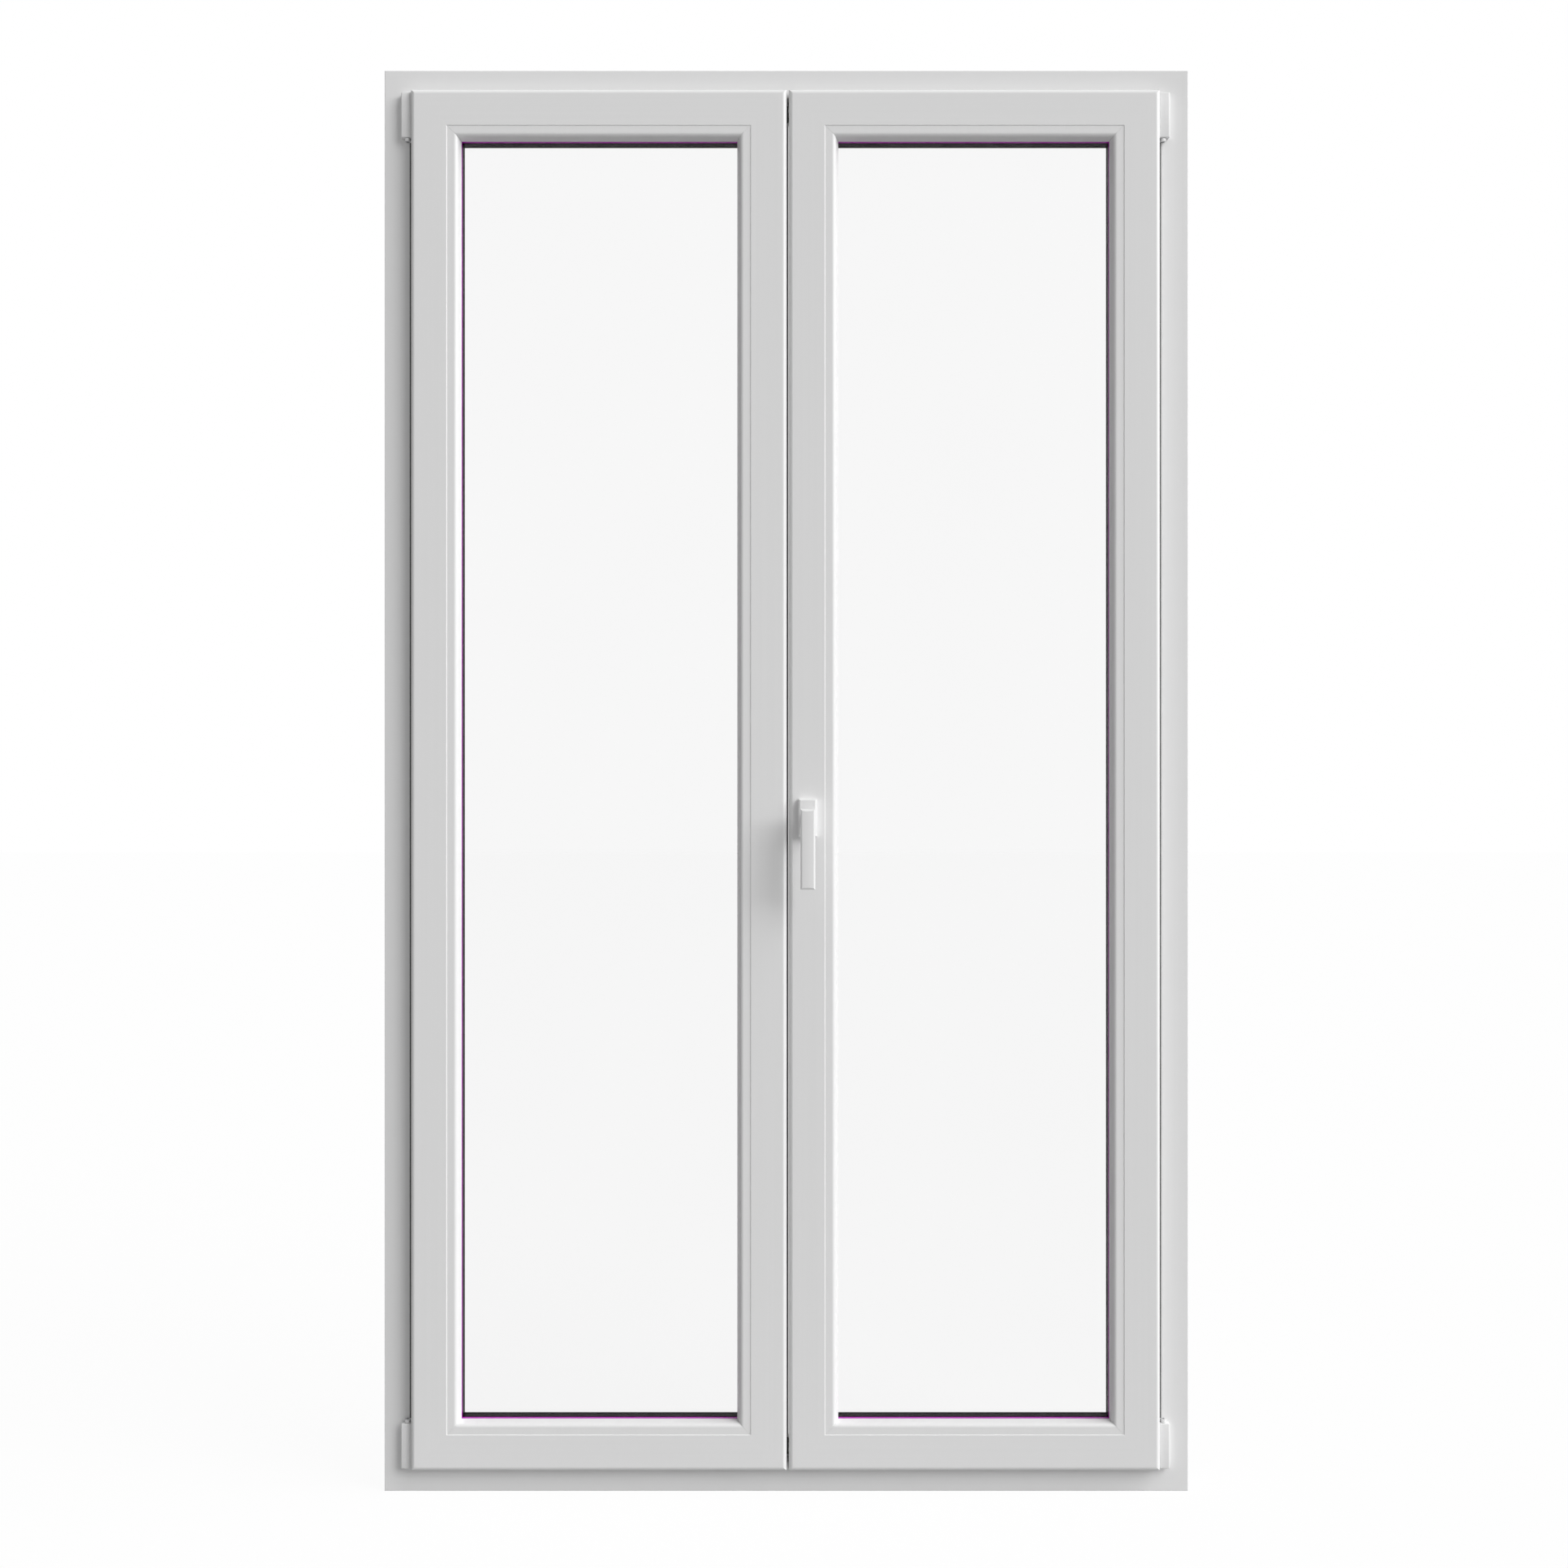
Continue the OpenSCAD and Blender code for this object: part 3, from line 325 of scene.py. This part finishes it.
# Sealed units: two panes of clear float glass bonded to a dark spacer and set on plastic blocks in the leaf.
# A purple gasket under the beads presses on the inner pane, and a faint film clouds the glass a little.
def clear_glass():
    glass_ior, haze, film_scale = 1.45, 0.02, 3.0
    reflection = (0.03, 0.03, 0.03, 1.0)
    filmed, wiped = (0.960, 0.960, 0.960, 1.0), (0.968, 0.968, 0.968, 1.0)
    material, shader = blank_material("clear_glass")
    nodes, links = material.node_tree.nodes, material.node_tree.links
    shader.inputs["Transmission Weight"].default_value = 1.0
    shader.inputs["IOR"].default_value = glass_ior
    shader.inputs["Specular Tint"].default_value = reflection
    place = nodes.new("ShaderNodeTexCoord")
    film = nodes.new("ShaderNodeTexNoise")
    film.inputs["Scale"].default_value = film_scale
    links.new(place.outputs["Object"], film.inputs["Vector"])
    tint = nodes.new("ShaderNodeMix")
    tint.data_type = "RGBA"
    tint.inputs["A"].default_value = filmed
    tint.inputs["B"].default_value = wiped
    links.new(film.outputs["Fac"], tint.inputs["Factor"])
    links.new(tint.outputs["Result"], shader.inputs["Base Color"])
    gloss = nodes.new("ShaderNodeMapRange")
    gloss.inputs["To Max"].default_value = haze
    links.new(film.outputs["Fac"], gloss.inputs["Value"])
    links.new(gloss.outputs["Result"], shader.inputs["Roughness"])
    return material


glass = clear_glass()
dress(glass, "left_inner_pane", "left_outer_pane", "right_inner_pane", "right_outer_pane")
spacer_black = grained_material(
    "spacer_black", stretch=(40.0, 40.0, 40.0), dull=(0.008, 0.004, 0.008), clean=(0.018, 0.009, 0.018),
    bump=0.1, specular=0.02)
dress(spacer_black, "left_spacer", "right_spacer", "left_glazing_blocks", "right_glazing_blocks")
purple_gasket = grained_material(
    "purple_gasket", stretch=(60.0, 60.0, 60.0), dull=(0.40, 0.008, 0.40), clean=(0.52, 0.016, 0.52),
    bump=0.1, specular=0.1)
dress(purple_gasket, "left_bead_gasket", "right_bead_gasket")


# Meeting profile: a white plastic strip, extruded and fixed along the left leaf's free edge. A light grey
# rubber seal on it closes the gap between the leaves.
dress(pvc_upright, "astragal")
grey_seal = grained_material(
    "grey_seal", stretch=(80.0, 80.0, 6.0), dull=(0.48, 0.48, 0.48), clean=(0.58, 0.58, 0.58), bump=0.1)
dress(grey_seal, "astragal_seal")


# Lock and bolts: rail, drive bar, cams, gear case and pinion let into the right leaf, keeps and flush bolts
# on the left leaf's meeting profile, all of the same zinc-plated steel, rolled, stamped or turned.
dress(zinc_steel, "lock_keeps", "bolt_guides", "lock_rail", "gear_case", "spindle", "pinion", "drive_bar",
      "lock_cams", "top_bolt", "bottom_bolt")


# Screws: pan heads with a cross recess, pressed in zinc-plated steel, that hold the rail, keeps, strikes
# and hinge arms. One head is drawn and set on every screw point of a body by the same node tree.
def screw_head():
    sides, crown_height = 24, 0.44
    dome = ((1.0, 0.0), (0.96, 0.20), (0.80, 0.36), (0.58, crown_height))
    arm, half, bed_share, bed_height = 0.46, 0.12, 0.75, 0.06
    shape = bmesh.new()
    turns = [math.tau * step / sides for step in range(sides)]
    rings = [[shape.verts.new((radius * math.cos(turn), radius * math.sin(turn), height)) for turn in turns]
             for radius, height in dome]
    for lower, upper in zip(rings, rings[1:]):
        for k in range(sides):
            shape.faces.new((lower[k - 1], lower[k], upper[k], upper[k - 1]))
    cross = [(arm, -half), (arm, half), (half, half), (half, arm), (-half, arm), (-half, half),
             (-arm, half), (-arm, -half), (-half, -half), (-half, -arm), (half, -arm), (half, -half)]
    rim = [shape.verts.new((x, y, crown_height)) for x, y in cross]
    bed = [shape.verts.new((bed_share * x, bed_share * y, bed_height)) for x, y in cross]
    for k in range(len(cross)):
        shape.faces.new((rim[k - 1], rim[k], bed[k], bed[k - 1]))
    shape.faces.new(bed)
    shape.faces.new(rings[0])
    crown = [shape.edges.get((rings[-1][k - 1], rings[-1][k])) for k in range(sides)]
    recess = [shape.edges.get((rim[k - 1], rim[k])) for k in range(len(cross))]
    bmesh.ops.triangle_fill(shape, use_beauty=True, edges=crown + recess)
    bmesh.ops.recalc_face_normals(shape, faces=shape.faces)
    mesh = bpy.data.meshes.new("screw_head")
    shape.to_mesh(mesh)
    shape.free()
    head = bpy.data.objects.new("screw_head", mesh)
    bpy.context.collection.objects.link(head)
    return head


def screw_tree():
    tree = bpy.data.node_groups.new("screws_on_points", "GeometryNodeTree")
    tree.interface.new_socket("Geometry", in_out="INPUT", socket_type="NodeSocketGeometry")
    sockets = {}
    for name, kind in (("Head", "Object"), ("Finish", "Material")):
        made = tree.interface.new_socket(name, in_out="INPUT", socket_type="NodeSocket" + kind)
        sockets[name] = made.identifier
    tree.interface.new_socket("Geometry", in_out="OUTPUT", socket_type="NodeSocketGeometry")
    nodes, links = tree.nodes, tree.links
    enter = nodes.new("NodeGroupInput")
    leave = nodes.new("NodeGroupOutput")
    shape = nodes.new("GeometryNodeObjectInfo")
    links.new(enter.outputs["Head"], shape.inputs["Object"])
    facing = nodes.new("GeometryNodeInputNamedAttribute")
    facing.data_type = "FLOAT_VECTOR"
    facing.inputs["Name"].default_value = "facing"
    size = nodes.new("GeometryNodeInputNamedAttribute")
    size.data_type = "FLOAT"
    size.inputs["Name"].default_value = "size"
    aim = nodes.new("FunctionNodeAlignRotationToVector")
    aim.axis = "Z"
    links.new(facing.outputs["Attribute"], aim.inputs["Vector"])
    copies = nodes.new("GeometryNodeInstanceOnPoints")
    links.new(enter.outputs["Geometry"], copies.inputs["Points"])
    links.new(shape.outputs["Geometry"], copies.inputs["Instance"])
    links.new(aim.outputs["Rotation"], copies.inputs["Rotation"])
    links.new(size.outputs["Attribute"], copies.inputs["Scale"])
    solid = nodes.new("GeometryNodeRealizeInstances")
    links.new(copies.outputs["Instances"], solid.inputs["Geometry"])
    finish = nodes.new("GeometryNodeSetMaterial")
    links.new(solid.outputs["Geometry"], finish.inputs["Geometry"])
    links.new(enter.outputs["Finish"], finish.inputs["Material"])
    links.new(finish.outputs["Geometry"], leave.inputs["Geometry"])
    return tree, sockets


HEAD = screw_head()
TREE, SOCKETS = screw_tree()


def screws(name, body, points):
    mesh = bpy.data.meshes.new(name)
    mesh.from_pydata([place for place, facing, size in points], [], [])
    mesh.attributes.new("facing", "FLOAT_VECTOR", "POINT")
    mesh.attributes.new("size", "FLOAT", "POINT")
    for k, (place, facing, size) in enumerate(points):
        mesh.attributes["facing"].data[k].vector = facing
        mesh.attributes["size"].data[k].value = size
    piece = bpy.data.objects.new(name, mesh)
    bpy.context.collection.objects.link(piece)
    modifier = piece.modifiers.new("screws", "NODES")
    modifier.node_group = TREE
    modifier[SOCKETS["Head"]] = HEAD
    modifier[SOCKETS["Finish"]] = zinc_steel
    evaluated = piece.evaluated_get(bpy.context.evaluated_depsgraph_get())
    solid = bpy.data.meshes.new_from_object(evaluated)
    piece.modifiers.remove(modifier)
    piece.data = solid
    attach(piece, body)


ARM_HEAD, RAIL_HEAD, KEEP_HEAD, STRIKE_HEAD = 0.0040, 0.0032, 0.0022, 0.0040
ARM_PITCH = 0.02
ARM_LEVELS = [(z0 + z1) / 2 + step for z0, z1 in reversed(EYES) for step in (-ARM_PITCH, 0.0, ARM_PITCH)]
FLANGE_Y = ARM_FRONT + FLANGE_DEPTH / 2
FLANGE_REACH = ARM_REACH - ARM_PLATE
RAIL_FACE, KEEP_FACE, LOCK_Y = 0.0126, 0.0016, -0.021
RAIL_LEVELS = (0.16, 0.42, 0.70, 0.93, 1.20, 1.45, 1.78, 1.94)
KEEP_LEVELS = (0.2957, 1.0657, 1.6957)
KEEP_ACROSS, KEEP_ALONG, STRIKE_ALONG = 0.0075, 0.02, 0.017
HEAD_STRIKE_LOW, HEAD_STRIKE_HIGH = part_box("head_strike")
STRIKE_MIDDLE = (HEAD_STRIKE_LOW + HEAD_STRIKE_HIGH) / 2
STRIKE_FACES = ((HEAD_STRIKE_LOW.z, -1), (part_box("sill_strike")[1].z, 1))
screws("right_leaf_screws", "right_leaf",
       [((RAIL_FACE, LOCK_Y, z), (-1, 0, 0), RAIL_HEAD) for z in RAIL_LEVELS]
       + [((swing_axis("right")[0] - FLANGE_REACH, FLANGE_Y, z), (1, 0, 0), ARM_HEAD) for z in ARM_LEVELS])
screws("left_leaf_screws", "left_leaf",
       [((KEEP_FACE, LOCK_Y + across, level + step), (1, 0, 0), KEEP_HEAD) for level in KEEP_LEVELS
        for across in (-KEEP_ACROSS, KEEP_ACROSS) for step in (-KEEP_ALONG, KEEP_ALONG)]
       + [((swing_axis("left")[0] + FLANGE_REACH, FLANGE_Y, z), (-1, 0, 0), ARM_HEAD) for z in ARM_LEVELS])
screws("strike_screws", "frame",
       [((STRIKE_MIDDLE.x + along, STRIKE_MIDDLE.y, z), (0, 0, facing), STRIKE_HEAD)
        for z, facing in STRIKE_FACES for along in (-STRIKE_ALONG, STRIKE_ALONG)])
bpy.data.objects.remove(HEAD)


# Handle: lever and rosette of cast aluminium with a white powder coat, which leaves a fine, even grain. The
# lever turns in the rosette and drives the lock through a square spindle.
powder_white = grained_material(
    "powder_white", stretch=(700.0, 700.0, 700.0), dull=(0.815, 0.815, 0.815), clean=(0.855, 0.855, 0.855),
    bump=0.1)
dress(powder_white, "handle_rosette", "handle_lever")


# Floor, light and camera: a pale floor that runs out to a white room, a soft sun from the upper right of the
# viewer, an even sky, and a camera at the height and distance of the photograph.
def seen_directly(nodes, links):
    path = nodes.new("ShaderNodeLightPath")
    either = nodes.new("ShaderNodeMath")
    either.operation = "MAXIMUM"
    links.new(path.outputs["Is Camera Ray"], either.inputs[0])
    links.new(path.outputs["Is Glossy Ray"], either.inputs[1])
    any_of = nodes.new("ShaderNodeMath")
    any_of.operation = "MAXIMUM"
    links.new(either.outputs["Value"], any_of.inputs[0])
    links.new(path.outputs["Is Transmission Ray"], any_of.inputs[1])
    return any_of.outputs["Value"]


SKY_LIGHT, SKY_SHOWN = 0.28, 1.0
world = bpy.data.worlds.new("white_room")
bpy.context.scene.world = world
world.use_nodes = True
nodes, links = world.node_tree.nodes, world.node_tree.links
nodes.clear()
strength = nodes.new("ShaderNodeMapRange")
strength.inputs["To Min"].default_value = SKY_LIGHT
strength.inputs["To Max"].default_value = SKY_SHOWN
links.new(seen_directly(nodes, links), strength.inputs["Value"])
background = nodes.new("ShaderNodeBackground")
background.inputs["Color"].default_value = (1.0, 1.0, 1.0, 1.0)
links.new(strength.outputs["Result"], background.inputs["Strength"])
out = nodes.new("ShaderNodeOutputWorld")
links.new(background.outputs["Background"], out.inputs["Surface"])

FLOOR_HALF = 30.0
FLOOR_LIT, FLOOR_SHOWN = (0.42, 0.42, 0.42, 1.0), (0.9, 0.9, 0.9, 1.0)
FLOOR_ROUGHNESS, FLOOR_FADE = 0.9, 0.95
corners = [(FLOOR_HALF * x, FLOOR_HALF * y, 0) for x, y in ((-1, -1), (1, -1), (1, 1), (-1, 1))]
floor_mesh = bpy.data.meshes.new("floor")
floor_mesh.from_pydata(corners, [], [(0, 1, 2, 3)])
floor = bpy.data.objects.new("floor", floor_mesh)
bpy.context.collection.objects.link(floor)
floor_paint, floor_shader = blank_material("floor_paint")
nodes, links = floor_paint.node_tree.nodes, floor_paint.node_tree.links
floor_shader.inputs["Roughness"].default_value = FLOOR_ROUGHNESS
floor_shader.inputs["Specular IOR Level"].default_value = 0.0
direct = seen_directly(nodes, links)
tone = nodes.new("ShaderNodeMix")
tone.data_type = "RGBA"
tone.inputs["A"].default_value = FLOOR_LIT
tone.inputs["B"].default_value = FLOOR_SHOWN
links.new(direct, tone.inputs["Factor"])
links.new(tone.outputs["Result"], floor_shader.inputs["Base Color"])
glow = nodes.new("ShaderNodeEmission")
glow.inputs["Color"].default_value = (1.0, 1.0, 1.0, 1.0)
fade = nodes.new("ShaderNodeMath")
fade.operation = "MULTIPLY"
fade.inputs[1].default_value = FLOOR_FADE
links.new(direct, fade.inputs[0])
blend = nodes.new("ShaderNodeMixShader")
links.new(fade.outputs["Value"], blend.inputs["Fac"])
links.new(floor_shader.outputs["BSDF"], blend.inputs[1])
links.new(glow.outputs["Emission"], blend.inputs[2])
links.new(blend.outputs["Shader"], nodes["Material Output"].inputs["Surface"])
floor_mesh.materials.append(floor_paint)

SUN_FROM = (0.74, -0.375, 0.56)
SUN_STRENGTH, SUN_SPREAD = 3.45, 55
sun = bpy.data.lights.new("key_sun", "SUN")
sun.energy = SUN_STRENGTH
sun.angle = math.radians(SUN_SPREAD)
sun_object = bpy.data.objects.new("key_sun", sun)
sun_object.rotation_euler = Vector(SUN_FROM).to_track_quat("Z", "Y").to_euler()
bpy.context.collection.objects.link(sun_object)

CAMERA_PLACE = (-0.0036, -3.255, 1.0452)
CAMERA_LENS, CAMERA_SENSOR = 50.0, 36.0
camera = bpy.data.cameras.new("camera")
camera.lens = CAMERA_LENS
camera.sensor_width = CAMERA_SENSOR
camera_object = bpy.data.objects.new("camera", camera)
camera_object.location = CAMERA_PLACE
camera_object.rotation_euler = (math.radians(90), 0.0, 0.0)
bpy.context.collection.objects.link(camera_object)
bpy.context.scene.camera = camera_object
bpy.context.scene.view_settings.view_transform = "Standard"
